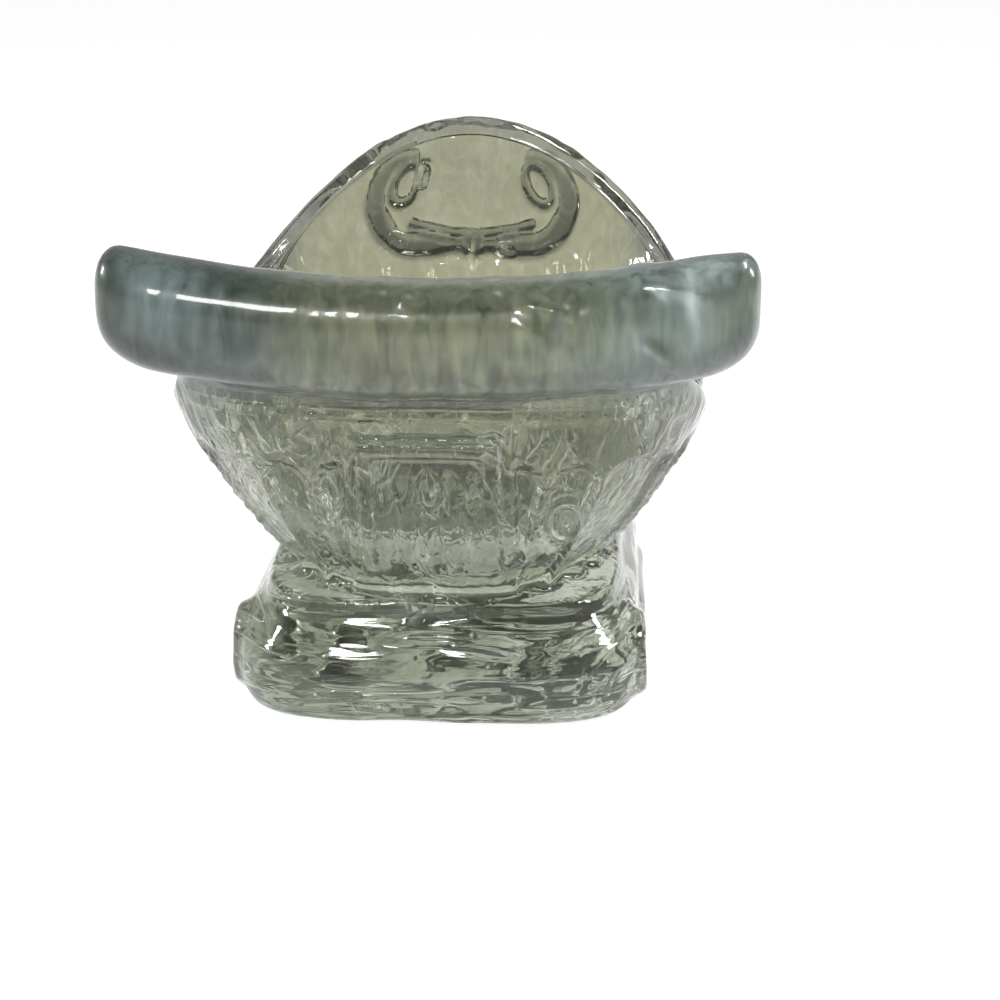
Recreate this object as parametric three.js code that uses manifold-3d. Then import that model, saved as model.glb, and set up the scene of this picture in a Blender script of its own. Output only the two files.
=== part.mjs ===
// A sleigh candy dish in clear pressed glass, in millimetres, with +Z up.
// The origin lies under the middle of the dish, on the plane that it stands on.
// The front roll points to -Y and the seat back to +Y; left and right are -X and +X.
// The real dish is one pressing. Its zones meet here on level seams, and relief stands a hair off its wall.
import * as THREE from "three";
import { mergeVertices } from "three/addons/utils/BufferGeometryUtils.js";
import Module from "manifold-3d";

// Tub: the open body of the sleigh, wide at the rim and narrow at the foot
const apexHeight = 96.9;
const footHeight = 22.5;
const tubTopHalfWidth = 56;
const tubBottomHalfWidth = 30.5;
const frontTopReach = 63;
const frontBottomReach = 43;
const backTopReach = 68.4;
const backBottomReach = 46;
const bilgePower = 2.6;
const backRakePower = 1.6;
const rimPlanPower = 4;
const lowPlanPower = 2.5;
const wallThickness = 7.5;
const floorThickness = 7.5;
const floorFillet = 8;

// Rim line: a parabola over the seat back, swept down to the sides and up to the roll
const archSpread = 71.4;
const dipHeight = 56;
const dipPlace = -10;
const backSheerHeight = 108;
const frontRimHeight = 83;
const rimBlend = 6;
const seatBackHeight = 32.9;
const seatSeamPlace = 20;

// Flutes pressed into the outer wall
const fluteCount = 36;
const fluteDepth = 1.1;
const fluteHeight = 35.5;
const fluteBelowRim = 9;
const plainFrontHalfWidth = 17;
const plainBackHalfWidth = 26;

// Front roll: the rolled-over dash, swept up at its ends
const rollLength = 114;
const rollOverhang = 6.5;
const rollDepth = 19.5;
const rollHeight = 20.2;
const rollBelowRim = 7.6;
const rollLift = 5.6;
const rollBow = 2.5;
const rollSectionPower = 2.6;
const rollTopCorner = 4;
const rollLowerCornerLength = 11;
const rollLowerCornerHeight = 6.5;
const rollEndThinning = 0.5;

// Foot: a coved block with flat cheeks for the runners and a hollow underside
const footHalfWidth = 39.7;
const footFrontReach = 51.5;
const footBackReach = 54.2;
const footFaceHeight = 9.9;
const footCove = 6;
const footHeel = 2.4;
const footPlanPower = 5;
const footHollowDepth = 3.5;
const footHollowMargin = 13;
const cheekCut = 2.2;

// Runners: a rail along each cheek that curls up at the front
const runnerProud = 2;
const runnerThickness = 5.5;
const runnerTipThickness = 2.8;
const runnerBackMargin = 15.7;
const runnerFrontMargin = 22;
const runnerCurlRadius = 6.6;
const runnerCurlTightening = 0.62;
const runnerCurlTurn = 280;
const runnerEdge = 0.9;

// Front panel: a raised frame filled with upright reeds
const panelWidth = 25;
const panelHeight = 32;
const panelAboveFoot = 2;
const panelFrame = 2.6;
const panelFrameSlope = 0.6;
const panelRelief = 2.2;
const panelGround = 0.8;
const reedCount = 5;
const reedRelief = 1.4;

// Scrollwork on the outside of the seat back
const scrollRelief = 1.5;
const scrollEdge = 0.5;
const scrollBand = 4;
const scrollTipBand = 2.2;
const scrollCentreBelowApex = 18.9;
const scrollCentreX = 12.6;
const scrollHalfWidth = 9;
const scrollHalfHeight = 9.7;
const scrollHook = 2.5;
const eyeX = 14.8;
const eyeRise = 3.7;
const eyeWidth = 5.8;
const eyeHeight = 10.2;
const eyeBand = 1.7;
const eyeTilt = 28;
const bowHalfWidth = 14;
const bowBand = 1.6;
const bowSag = 2.4;
const bowBelowCentre = 5;
const stemSpacing = 2.8;
const stemBand = 1.5;
const stemLength = 4.2;

// Clearance between relief and the wall behind it
const reliefGap = 0.3;

// Facets
const samplesPerFlute = 4;
const wallRows = 8;
const rimRows = 6;
const innerRows = 4;
const filletRows = 3;
const rollStations = 28;
const rollSectionPoints = 24;
const footPoints = 60;
const heelRows = 4;
const coveRows = 6;
const hollowSides = 40;
const railSteps = 8;
const curlSteps = 22;
const scrollSteps = 20;
const tailSteps = 5;
const stemSteps = 4;
const bandTipSteps = 5;
const panelRows = 5;
const samplesPerReed = 4;

// Values worked out from the sizes above
const rollCentreHeight = frontRimHeight - rollBelowRim;
const rollSeamHeight = rollCentreHeight - rollHeight / 2;
const rollSeamPlace = -(frontTopReach - wallThickness * 2);
const rollCentrePlace = rollDepth / 2 - rollOverhang - frontTopReach;
const seatSeamHeight = apexHeight - seatBackHeight;
const floorHeight = footHeight + floorThickness;
const frontSweep = (frontRimHeight - dipHeight) / (dipPlace + frontTopReach) ** 2;
const backSweep = (backSheerHeight - dipHeight) / (backTopReach - dipPlace) ** 2;
const footHalfLength = (footFrontReach + footBackReach) / 2;
const footMiddle = (footBackReach - footFrontReach) / 2;
const runnerSeat = footHalfWidth - cheekCut;
const panelBottom = footHeight + panelAboveFoot;
const scrollCentreHeight = apexHeight - scrollCentreBelowApex;

// How far a cutting block reaches, well past the dish on every side
const pastTheDish = 4 * apexHeight;

const wasm = await Module();
wasm.setup();

const glass = {
  clear: material(0x9aa79a),
  teal: material(0x8fa3a0),
  olive: material(0x8f9678),
};

function material(color) {
  return new THREE.MeshStandardMaterial({ color, roughness: 0.06, metalness: 0 });
}

// A closed geometry as a solid that can be joined and cut.
function solidOf(geometry) {
  const weldDistance = 1e-4;
  const bare = geometry.clone();
  bare.deleteAttribute("normal");
  bare.deleteAttribute("uv");
  const merged = mergeVertices(bare, weldDistance);
  const mesh = new wasm.Mesh({
    numProp: 3,
    vertProperties: merged.attributes.position.array,
    triVerts: new Uint32Array(merged.index.array),
  });
  return new wasm.Manifold(mesh);
}

// A solid as a geometry that a mesh can show.
function geometryOf(solid) {
  const mesh = solid.getMesh();
  const geometry = new THREE.BufferGeometry();
  geometry.setAttribute("position", new THREE.BufferAttribute(mesh.vertProperties, 3));
  geometry.setIndex(new THREE.BufferAttribute(mesh.triVerts, 1));
  geometry.computeVertexNormals();
  return geometry;
}

// A closed skin over rings of equal count, each end drawn together at a point.
// The rings run counter-clockwise, seen from the end that they go towards.
function loft(rings, startPoint, endPoint) {
  const count = rings[0].length;
  const points = rings.flat().concat(startPoint, endPoint);
  const start = rings.length * count;
  const end = start + 1;
  const faces = [];
  for (let i = 0; i < count; i++) {
    const next = (i + 1) % count;
    faces.push(start, next, i);
    for (let ring = 0; ring < rings.length - 1; ring++) {
      const low = ring * count;
      const high = low + count;
      faces.push(low + i, low + next, high + next);
      faces.push(low + i, high + next, high + i);
    }
    const last = (rings.length - 1) * count;
    faces.push(end, last + i, last + next);
  }
  const geometry = new THREE.BufferGeometry().setFromPoints(points);
  geometry.setIndex(faces);
  return geometry;
}

function block(low, high) {
  const size = high.clone().sub(low);
  const box = new THREE.BoxGeometry(size.x, size.y, size.z);
  const middle = low.clone().add(high).multiplyScalar(0.5);
  return solidOf(box.translate(middle.x, middle.y, middle.z));
}

// A rounded rectangle in plan: a superellipse through the given half sizes.
function ovalPoint(angle, halfWidth, halfLength, power) {
  const across = Math.cos(angle);
  const along = Math.sin(angle);
  return new THREE.Vector2(
    halfWidth * Math.sign(across) * Math.abs(across) ** (2 / power),
    halfLength * Math.sign(along) * Math.abs(along) ** (2 / power),
  );
}

// How much a quarter round takes off at a place between its start (0) and its end (1).
function quarterRound(place) {
  const inside = THREE.MathUtils.clamp(place, 0, 1);
  return 1 - Math.sqrt(1 - inside * inside);
}

function smoothMinimum(a, b, blend) {
  const share = THREE.MathUtils.clamp(0.5 + (b - a) / (2 * blend), 0, 1);
  return b + (a - b) * share - blend * share * (1 - share);
}

// The tub's outline at a height: half width, and the half length about its middle.
function tubSize(z) {
  const left = Math.max(0, (apexHeight - z) / (apexHeight - footHeight));
  const bilge = left ** bilgePower;
  const rake = left ** backRakePower;
  const front = -(frontTopReach - (frontTopReach - frontBottomReach) * bilge);
  const back = backTopReach - (backTopReach - backBottomReach) * rake;
  return {
    halfWidth: tubTopHalfWidth - (tubTopHalfWidth - tubBottomHalfWidth) * bilge,
    halfLength: (back - front) / 2,
    middle: (back + front) / 2,
    planPower: rimPlanPower - (rimPlanPower - lowPlanPower) * bilge,
  };
}

// The distance out to the tub's plan, where 1 by 1 is its bounding box: nearly square at the rim, rounder below.
function planRound(x, y, power) {
  return (Math.abs(x) ** power + Math.abs(y) ** power) ** (1 / power);
}

function tubPoint(angle, z, inset) {
  const size = tubSize(z);
  const flat = ovalPoint(angle, 1, 1, rimPlanPower);
  flat.divideScalar(planRound(flat.x, flat.y, size.planPower));
  const x = flat.x * (size.halfWidth - inset);
  const y = flat.y * (size.halfLength - inset) + size.middle;
  return new THREE.Vector3(x, y, z);
}

// The outer face of the front (side -1) or back (side 1) wall, above a place across it.
function wallFace(x, z, side) {
  const size = tubSize(z);
  const share = 1 - Math.min(1, Math.abs(x) / size.halfWidth) ** size.planPower;
  return size.middle + side * size.halfLength * share ** (1 / size.planPower);
}

function rimHeight(x, y) {
  const arch = apexHeight - (x * x) / archSpread;
  const sweep = y > dipPlace ? backSweep : frontSweep;
  const sheer = dipHeight + sweep * (y - dipPlace) ** 2;
  return smoothMinimum(arch, sheer, rimBlend);
}

// The rim's height in one direction, closed in on where the flaring wall and the rim line meet.
function rimOver(angle) {
  const passes = 12;
  let z = dipHeight;
  for (let pass = 0; pass < passes; pass++) {
    const place = tubPoint(angle, z, wallThickness / 2);
    z = rimHeight(place.x, place.y);
  }
  return z;
}

// Angles that space the plan's points evenly along its edge, measured half way up the wall.
function evenAngles(count) {
  const stepsPerPoint = 24;
  const fine = count * stepsPerPoint;
  const z = (footHeight + dipHeight) / 2;
  const travelled = [0];
  let before = tubPoint(0, z, 0);
  for (let i = 1; i <= fine; i++) {
    const here = tubPoint((2 * Math.PI * i) / fine, z, 0);
    travelled.push(travelled[i - 1] + here.distanceTo(before));
    before = here;
  }
  const angles = [];
  let at = 0;
  for (let i = 0; i < count; i++) {
    const wanted = (travelled[fine] * i) / count;
    while (travelled[at + 1] <= wanted) at++;
    const part = (wanted - travelled[at]) / (travelled[at + 1] - travelled[at]);
    angles.push((2 * Math.PI * (at + part)) / fine);
  }
  return angles;
}

// How deep a flute lies at a height, for one of its samples: shallow at its edges and at both ends.
function fluteInset(sample, angle, z, rim) {
  const place = tubPoint(angle, z, 0);
  const plainHalfWidth = place.y < 0 ? plainFrontHalfWidth : plainBackHalfWidth;
  if (Math.abs(place.x) < plainHalfWidth) return 0;
  const across = ((sample % samplesPerFlute) * 2) / samplesPerFlute - 1;
  const length = Math.min(fluteHeight, rim - fluteBelowRim - footHeight);
  const up = THREE.MathUtils.clamp((z - footHeight) / length, 0, 1);
  return fluteDepth * (1 - across * across) * Math.sqrt(4 * up * (1 - up));
}

// One ring for each step of the wall's section: up the outside, over the rim, down the inside.
function tubRings() {
  const angles = evenAngles(fluteCount * samplesPerFlute);
  const rims = angles.map(rimOver);
  const radius = wallThickness / 2;
  const ring = (place) => angles.map((angle, i) => place(angle, rims[i] - radius, i));
  const rings = [];
  for (let row = 0; row <= wallRows; row++) {
    rings.push(ring((angle, shoulder, i) => {
      const z = footHeight + ((shoulder - footHeight) * row) / wallRows;
      return tubPoint(angle, z, fluteInset(i, angle, z, rims[i]));
    }));
  }
  for (let row = 1; row <= rimRows; row++) {
    const turn = (Math.PI * row) / rimRows;
    const inset = radius * (1 - Math.cos(turn));
    const rise = radius * Math.sin(turn);
    rings.push(ring((angle, shoulder) => tubPoint(angle, shoulder + rise, inset)));
  }
  const filletTop = floorHeight + floorFillet;
  for (let row = 1; row <= innerRows; row++) {
    rings.push(ring((angle, shoulder) => {
      const z = shoulder + ((filletTop - shoulder) * row) / innerRows;
      return tubPoint(angle, z, wallThickness);
    }));
  }
  for (let row = 1; row <= filletRows; row++) {
    const turn = ((Math.PI / 2) * row) / filletRows;
    const inset = wallThickness + floorFillet * (1 - Math.cos(turn));
    const z = filletTop - floorFillet * Math.sin(turn);
    rings.push(ring((angle) => tubPoint(angle, z, inset)));
  }
  return rings;
}

function tubSolid() {
  const under = new THREE.Vector3(0, tubSize(footHeight).middle, footHeight);
  const floor = new THREE.Vector3(0, tubSize(floorHeight).middle, floorHeight);
  return solidOf(loft(tubRings(), under, floor));
}

// The roll's section at a place across the dish, lifted and rounded off towards the ends.
function rollSection(x) {
  const halfLength = rollLength / 2;
  const reach = Math.abs(x) / halfLength;
  const away = Math.abs(x) - halfLength;
  const lift = rollLift * reach * reach;
  const topDrop = rollTopCorner * quarterRound(1 + away / rollTopCorner);
  const lowerCorner = quarterRound(1 + away / rollLowerCornerLength);
  const top = rollCentreHeight + rollHeight / 2 + lift - topDrop;
  const bottom = rollCentreHeight - rollHeight / 2 + lift + rollLowerCornerHeight * lowerCorner;
  const halfDepth = (rollDepth / 2) * (1 - rollEndThinning * lowerCorner);
  const middle = new THREE.Vector3(x, rollCentrePlace + rollBow * reach * reach, (top + bottom) / 2);
  const points = [];
  for (let i = 0; i < rollSectionPoints; i++) {
    const angle = (2 * Math.PI * i) / rollSectionPoints;
    const flat = ovalPoint(angle, halfDepth, (top - bottom) / 2, rollSectionPower);
    points.push(new THREE.Vector3(x, middle.y + flat.x, middle.z + flat.y));
  }
  return { points, middle };
}

function rollSolid() {
  const sections = [];
  for (let i = 0; i <= rollStations; i++) {
    const sweep = Math.PI * (i / rollStations - 0.5);
    sections.push(rollSection((rollLength / 2) * Math.sin(sweep)));
  }
  const rings = sections.map((section) => section.points);
  return solidOf(loft(rings, sections[0].middle, sections[rollStations].middle));
}

// The foot's plan shrinks in a soft heel below its face and in a cove above it.
function footInset(z) {
  if (z < footFaceHeight) return footHeel * quarterRound(1 - z / footFaceHeight);
  const up = (z - footFaceHeight) / (footHeight - footFaceHeight);
  return (footCove * (1 - Math.cos(Math.PI * up))) / 2;
}

function footRing(z) {
  const inset = footInset(z);
  const ring = [];
  for (let i = 0; i < footPoints; i++) {
    const angle = (2 * Math.PI * i) / footPoints;
    const flat = ovalPoint(angle, footHalfWidth - inset, footHalfLength - inset, footPlanPower);
    ring.push(new THREE.Vector3(flat.x, flat.y + footMiddle, z));
  }
  return ring;
}

function footSolid() {
  const rings = [];
  for (let row = 0; row <= heelRows; row++) {
    rings.push(footRing(footFaceHeight * (1 - Math.cos((Math.PI / 2) * (row / heelRows)))));
  }
  for (let row = 1; row <= coveRows; row++) {
    rings.push(footRing(footFaceHeight + ((footHeight - footFaceHeight) * row) / coveRows));
  }
  const under = new THREE.Vector3(0, footMiddle, 0);
  const over = new THREE.Vector3(0, footMiddle, footHeight);
  const cheeks = block(
    new THREE.Vector3(-runnerSeat, -pastTheDish, -pastTheDish),
    new THREE.Vector3(runnerSeat, pastTheDish, pastTheDish),
  );
  const hollow = new THREE.SphereGeometry(1, hollowSides, hollowSides / 4);
  hollow.scale(footHalfWidth - footHollowMargin, footHalfLength - footHollowMargin, footHollowDepth);
  hollow.translate(0, footMiddle, 0);
  return solidOf(loft(rings, under, over)).intersect(cheeks).subtract(solidOf(hollow));
}

// A band of changing width along a path: one side out, a round tip, the other side back.
function bandShape(path, halfWidthAt) {
  const left = [];
  const right = [];
  const last = path.length - 1;
  const heading = (i) => path[Math.min(last, i + 1)].clone().sub(path[Math.max(0, i - 1)]).angle();
  path.forEach((point, i) => {
    const side = new THREE.Vector2(0, halfWidthAt(i / last));
    side.rotateAround(new THREE.Vector2(), heading(i));
    left.push(point.clone().add(side));
    right.push(point.clone().sub(side));
  });
  const tip = (end, width, from) => {
    const points = [];
    for (let i = 1; i < bandTipSteps; i++) {
      const turn = from - (Math.PI * i) / bandTipSteps;
      points.push(new THREE.Vector2(Math.cos(turn), Math.sin(turn)).multiplyScalar(width).add(end));
    }
    return points;
  };
  const front = tip(path[last], halfWidthAt(1), heading(last) + Math.PI / 2);
  const rear = tip(path[0], halfWidthAt(0), heading(0) - Math.PI / 2);
  return new THREE.Shape([...left, ...front, ...right.reverse(), ...rear]);
}

// A shape pressed up to a relief height with a soft outer edge and a flat back.
function relief(shape, height, edge) {
  const geometry = new THREE.ExtrudeGeometry(shape, {
    depth: height,
    bevelThickness: edge,
    bevelSize: edge,
    bevelOffset: -edge,
    bevelSegments: 2,
    curveSegments: 8,
  });
  geometry.translate(0, 0, -edge);
  const front = block(
    new THREE.Vector3(-pastTheDish, -pastTheDish, 0),
    new THREE.Vector3(pastTheDish, pastTheDish, pastTheDish),
  );
  return solidOf(geometry).intersect(front);
}

// The runner's side view: a level rail, then a curl that tightens towards its tip.
function runnerPath() {
  const path = [];
  const low = runnerThickness / 2;
  const back = footBackReach - runnerBackMargin;
  const curlPlace = runnerFrontMargin - footFrontReach;
  for (let i = 0; i < railSteps; i++) {
    path.push(new THREE.Vector2(THREE.MathUtils.lerp(back, curlPlace, i / railSteps), low));
  }
  const turn = THREE.MathUtils.degToRad(runnerCurlTurn);
  for (let i = 0; i <= curlSteps; i++) {
    const share = i / curlSteps;
    const angle = -Math.PI / 2 - turn * share;
    const radius = runnerCurlRadius * (1 - runnerCurlTightening * share);
    path.push(new THREE.Vector2(
      curlPlace + radius * Math.cos(angle),
      low + runnerCurlRadius + radius * Math.sin(angle),
    ));
  }
  return path;
}

function runnerMesh(name) {
  const taper = (share) => THREE.MathUtils.lerp(runnerThickness, runnerTipThickness, share ** 2) / 2;
  const solid = relief(bandShape(runnerPath(), taper), runnerProud, runnerEdge);
  const mesh = new THREE.Mesh(geometryOf(solid), glass.clear);
  mesh.name = name;
  mesh.position.x = runnerSeat;
  mesh.rotation.set(Math.PI / 2, Math.PI / 2, 0);
  return mesh;
}

// Relief on the front wall: rings that follow the wall, with the frame and reeds as their outer edge.
function panelRings() {
  const halfWidth = panelWidth / 2;
  const inner = halfWidth - panelFrame;
  const pitch = (2 * inner) / reedCount;
  const across = [-halfWidth];
  for (let i = 0; i <= reedCount * samplesPerReed; i++) {
    across.push(-inner + (pitch * i) / samplesPerReed);
  }
  across.push(halfWidth);
  const groundBottom = panelFrame + panelFrameSlope;
  const groundHeight = panelHeight - 2 * groundBottom;
  const heights = [0, panelFrame];
  for (let row = 0; row <= panelRows; row++) {
    heights.push(groundBottom + (groundHeight * row) / panelRows);
  }
  heights.push(panelHeight - panelFrame, panelHeight);
  const proud = (i, row) => {
    const onFrame = row < 2 || row > heights.length - 3 || i < 2 || i > across.length - 3;
    if (onFrame) return panelRelief;
    const place = (i - 1) / samplesPerReed;
    return panelGround + reedRelief * Math.sin(Math.PI * (place % 1));
  };
  return heights.map((height, row) => {
    const z = panelBottom + height;
    const back = (x) => wallFace(x, z, -1) - reliefGap;
    const outer = across.map((x, i) => new THREE.Vector3(x, back(x) - proud(i, row), z));
    const inside = across.map((x) => new THREE.Vector3(x, back(x), z)).reverse();
    return [...outer, ...inside];
  });
}

function panelSolid() {
  const middle = (z) => new THREE.Vector3(0, wallFace(0, z, -1) - reliefGap - panelRelief / 2, z);
  return solidOf(loft(panelRings(), middle(panelBottom), middle(panelBottom + panelHeight)));
}

// Flat relief laid on the back wall. It is drawn as seen from behind, where right is the dish's left.
function laidOnBack(solid) {
  const geometry = geometryOf(solid);
  const places = geometry.getAttribute("position");
  for (let i = 0; i < places.count; i++) {
    const across = places.getX(i);
    const up = places.getY(i);
    places.setXYZ(i, -across, wallFace(across, up, 1) + reliefGap + places.getZ(i), up);
  }
  geometry.computeVertexNormals();
  return geometry;
}

// The C-scroll on the dish's right: from a short hook on top round its outer side, then level in to the stems.
function scrollPath() {
  const path = [new THREE.Vector2(scrollHook - scrollCentreX, scrollCentreHeight + scrollHalfHeight)];
  for (let i = 0; i <= scrollSteps; i++) {
    const turn = Math.PI * (1 / 2 + i / scrollSteps);
    path.push(new THREE.Vector2(
      -scrollCentreX + scrollHalfWidth * Math.cos(turn),
      scrollCentreHeight + scrollHalfHeight * Math.sin(turn),
    ));
  }
  const tail = -stemSpacing / 2 - stemBand / 2 - scrollTipBand / 2 - reliefGap;
  for (let i = 1; i <= tailSteps; i++) {
    const x = THREE.MathUtils.lerp(-scrollCentreX, tail, i / tailSteps);
    path.push(new THREE.Vector2(x, scrollCentreHeight - scrollHalfHeight));
  }
  return path;
}

// The scroll's eye: a tilted oval loop that hangs from the hook.
function eyeShape() {
  const oval = (shape, inset) => shape.absellipse(
    -eyeX,
    scrollCentreHeight + eyeRise,
    eyeWidth / 2 - inset,
    eyeHeight / 2 - inset,
    0,
    2 * Math.PI,
    false,
    -THREE.MathUtils.degToRad(eyeTilt),
  );
  const shape = oval(new THREE.Shape(), 0);
  shape.holes.push(oval(new THREE.Path(), eyeBand));
  return shape;
}

function scrollSolid() {
  const swell = (share) => THREE.MathUtils.lerp(scrollTipBand, scrollBand, Math.sin(Math.PI * share)) / 2;
  const band = relief(bandShape(scrollPath(), swell), scrollRelief, scrollEdge);
  return band.add(relief(eyeShape(), scrollRelief, scrollEdge));
}

// The bow between the scrolls, with the pair of short stems that it stands on.
function bowSolid() {
  const ends = scrollCentreHeight - bowBelowCentre;
  const lowest = ends - bowSag;
  const arc = [];
  for (let i = 0; i <= scrollSteps; i++) {
    const x = THREE.MathUtils.lerp(-bowHalfWidth, bowHalfWidth, i / scrollSteps);
    arc.push(new THREE.Vector2(x, lowest + bowSag * (x / bowHalfWidth) ** 2));
  }
  let bow = relief(bandShape(arc, () => bowBand / 2), scrollRelief, scrollEdge);
  for (const x of [-stemSpacing / 2, stemSpacing / 2]) {
    const stem = [];
    for (let i = 0; i <= stemSteps; i++) {
      stem.push(new THREE.Vector2(x, lowest - (stemLength * i) / stemSteps));
    }
    bow = bow.add(relief(bandShape(stem, () => stemBand / 2), scrollRelief, scrollEdge));
  }
  return bow;
}

function meshOf(name, geometry, finish) {
  const mesh = new THREE.Mesh(geometry, finish);
  mesh.name = name;
  return mesh;
}

// The tub is parted on level seams, so that the roll and the seat back are pieces of their own.
const tub = tubSolid();
const rollZone = block(
  new THREE.Vector3(-pastTheDish, -pastTheDish, rollSeamHeight),
  new THREE.Vector3(pastTheDish, rollSeamPlace, pastTheDish),
);
const seatZone = block(
  new THREE.Vector3(-pastTheDish, seatSeamPlace, seatSeamHeight),
  new THREE.Vector3(pastTheDish, pastTheDish, pastTheDish),
);
const tubBody = tub.subtract(rollZone).subtract(seatZone);
const frontRoll = rollSolid().add(tub.intersect(rollZone));
const seatBack = tub.intersect(seatZone);

const dish = new THREE.Group();
dish.add(meshOf("tub_body", geometryOf(tubBody), glass.clear));
dish.add(meshOf("front_roll", geometryOf(frontRoll), glass.teal));
dish.add(meshOf("seat_back", geometryOf(seatBack), glass.olive));
dish.add(meshOf("foot_block", geometryOf(footSolid()), glass.clear));
dish.add(meshOf("front_reeded_panel", geometryOf(panelSolid()), glass.olive));
dish.add(meshOf("back_bow", laidOnBack(bowSolid()), glass.olive));
dish.add(runnerMesh("right_runner"));
dish.add(meshOf("right_scroll", laidOnBack(scrollSolid()), glass.olive));

// The left-hand pieces mirror the right-hand ones.
const leftSide = new THREE.Group();
leftSide.scale.x = -1;
leftSide.add(runnerMesh("left_runner"));
leftSide.add(meshOf("left_scroll", laidOnBack(scrollSolid()), glass.olive));
dish.add(leftSide);

export default dish;
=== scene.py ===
import math

import bpy
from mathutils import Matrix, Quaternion, Vector


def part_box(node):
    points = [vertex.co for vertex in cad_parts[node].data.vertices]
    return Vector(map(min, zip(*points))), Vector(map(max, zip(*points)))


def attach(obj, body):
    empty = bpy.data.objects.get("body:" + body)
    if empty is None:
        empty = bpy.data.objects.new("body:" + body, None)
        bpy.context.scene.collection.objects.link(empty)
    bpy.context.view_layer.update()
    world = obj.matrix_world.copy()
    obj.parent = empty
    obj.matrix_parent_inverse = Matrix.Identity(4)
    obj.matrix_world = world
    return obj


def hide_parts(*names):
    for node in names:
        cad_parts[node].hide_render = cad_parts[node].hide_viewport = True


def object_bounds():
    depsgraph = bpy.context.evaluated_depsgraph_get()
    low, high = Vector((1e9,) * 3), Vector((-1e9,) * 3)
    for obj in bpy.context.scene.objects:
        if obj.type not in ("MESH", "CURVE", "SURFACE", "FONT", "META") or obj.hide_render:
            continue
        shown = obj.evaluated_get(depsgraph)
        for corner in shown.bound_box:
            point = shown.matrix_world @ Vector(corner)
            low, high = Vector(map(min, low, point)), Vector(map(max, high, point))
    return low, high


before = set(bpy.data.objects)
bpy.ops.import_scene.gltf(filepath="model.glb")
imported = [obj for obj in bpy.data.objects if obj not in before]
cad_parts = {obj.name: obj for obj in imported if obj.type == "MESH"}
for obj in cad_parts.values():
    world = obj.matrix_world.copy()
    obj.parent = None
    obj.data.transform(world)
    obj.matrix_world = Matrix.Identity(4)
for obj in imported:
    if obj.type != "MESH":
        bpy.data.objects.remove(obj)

cadLow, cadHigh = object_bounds()
mm = 0.001


# One socket of a node tree. Arithmetic on it adds Math nodes, so rules for shapes and shaders
# read as formulas.
class Wire:
    def __init__(self, tree, socket=None):
        self.tree = tree
        self.socket = socket

    def node(self, kind, settings=None, inputs=None, out=0):
        made = self.tree.nodes.new(kind)
        for name, value in (settings or {}).items():
            setattr(made, name, value)
        for key, value in (inputs or {}).items():
            if isinstance(value, Wire):
                self.tree.links.new(value.socket, made.inputs[key])
            else:
                made.inputs[key].default_value = value
        return Wire(self.tree, made.outputs[out]) if made.outputs else made

    def out(self, name):
        return Wire(self.tree, self.socket.node.outputs[name])

    def math(self, operation, *values):
        return self.node("ShaderNodeMath", {"operation": operation}, dict(enumerate(values)))

    def __add__(self, other):
        return self.math("ADD", self, other)

    __radd__ = __add__

    def __sub__(self, other):
        return self.math("SUBTRACT", self, other)

    def __rsub__(self, other):
        return self.math("SUBTRACT", other, self)

    def __mul__(self, other):
        return self.math("MULTIPLY", self, other)

    __rmul__ = __mul__

    def __truediv__(self, other):
        return self.math("DIVIDE", self, other)

    def __rtruediv__(self, other):
        return self.math("DIVIDE", other, self)

    def __pow__(self, other):
        return self.math("POWER", self, other)

    def __neg__(self):
        return self.math("MULTIPLY", self, -1)

    def __abs__(self):
        return self.math("ABSOLUTE", self)


def larger(a, b):
    return (a if isinstance(a, Wire) else b).math("MAXIMUM", a, b)


def smaller(a, b):
    return (a if isinstance(a, Wire) else b).math("MINIMUM", a, b)


def clamped(a):
    return smaller(larger(a, 0), 1)


def root(a):
    return a.math("SQRT", a)


def sine(a):
    return a.math("SINE", a)


def cosine(a):
    return a.math("COSINE", a)


def above(a, b):
    return (a if isinstance(a, Wire) else b).math("GREATER_THAN", a, b)


# 0 below low, 1 above high, eased in between
def step(a, low, high):
    share = clamped((a - low) / (high - low))
    return share * share * (3 - 2 * share)


def blendOf(a, b, share):
    return (b - a) * share + a


def smoothSmaller(a, b, blend):
    share = clamped(0.5 + (b - a) / (2 * blend))
    return b + (a - b) * share - blend * share * (1 - share)


def smoothLarger(a, b, blend):
    return -smoothSmaller(-a, -b, blend)


# How much a quarter round takes off at a place between its start (0) and its end (1)
def quarterRound(place):
    inside = clamped(place)
    return 1 - root(1 - inside * inside)


# How far a place lies outside a superellipse about the origin, roughly as a distance
def ovalDistance(across, along, halfAcross, halfAlong, power):
    u = larger(abs(across) / halfAcross, 0.06)
    v = larger(abs(along) / halfAlong, 0.06)
    size = (u ** power + v ** power) ** (1 / power)
    slopeU = u ** (power - 1) / halfAcross
    slopeV = v ** (power - 1) / halfAlong
    slope = root(slopeU * slopeU + slopeV * slopeV)
    return (size - 1) * size ** (power - 1) / slope


print("measures from the frame")
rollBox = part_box("front_roll")
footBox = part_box("foot_block")
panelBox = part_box("front_reeded_panel")
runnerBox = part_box("right_runner")

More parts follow.
